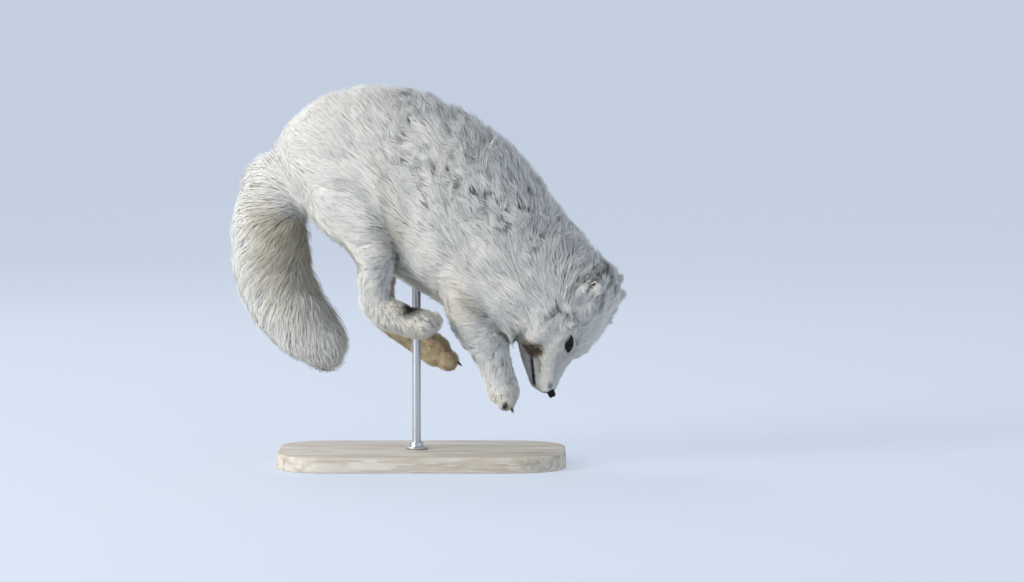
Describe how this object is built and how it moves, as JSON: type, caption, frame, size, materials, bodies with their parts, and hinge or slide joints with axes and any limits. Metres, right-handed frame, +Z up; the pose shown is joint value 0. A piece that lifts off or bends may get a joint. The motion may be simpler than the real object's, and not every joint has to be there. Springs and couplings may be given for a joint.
{
  "type": "arctic fox model",
  "caption": "Life-size arctic fox in white winter coat, caught mid-leap in a diving pounce with the head down and the bushy tail curled under, held by a rod on a flat base.",
  "frame": {"origin": "centre of the underside of the stand's base, where the model stands on the floor", "axes": "+X the way the fox dives, +Y to the fox's left, +Z up"},
  "size_m": [0.4713, 0.2, 0.449],
  "materials": {
    "coat": "long dense white winter fur, creamy on the feet and brownish inside the tail's base and at the throat",
    "eye": "wet, very dark brown",
    "nose": "moist black pebbled skin",
    "claw": "dark horn, satin",
    "stand_wood": "pale whitewashed ash, matt lacquer",
    "stand_steel": "brushed"
  },
  "bodies": {
    "root": {"nose": "nose", "ear_right": "coat", "eye_right": "eye", "ear_left": "coat", "eye_left": "eye", "trunk": "coat", "neck": "coat", "head": "coat", "tail_base": "coat", "tail_middle": "coat", "tail_end": "coat", "upper_arm_right": "coat", "forearm_right": "coat", "fore_paw_right": "coat", "fore_claw_right_1": "claw", "fore_claw_right_2": "claw", "fore_claw_right_3": "claw", "fore_claw_right_4": "claw", "upper_arm_left": "coat", "forearm_left": "coat", "fore_paw_left": "coat", "fore_claw_left_1": "claw", "fore_claw_left_2": "claw", "fore_claw_left_3": "claw", "fore_claw_left_4": "claw", "thigh_right": "coat", "shank_right": "coat", "hind_foot_right": "coat", "hind_claw_right_1": "claw", "hind_claw_right_2": "claw", "hind_claw_right_3": "claw", "hind_claw_right_4": "claw", "thigh_left": "coat", "shank_left": "coat", "hind_foot_left": "coat", "hind_claw_left_1": "claw", "hind_claw_left_2": "claw", "hind_claw_left_3": "claw", "hind_claw_left_4": "claw", "stand_base": "stand_wood", "stand_rod": "stand_steel", "stand_collar": "stand_steel"}
  },
  "joints": []
}
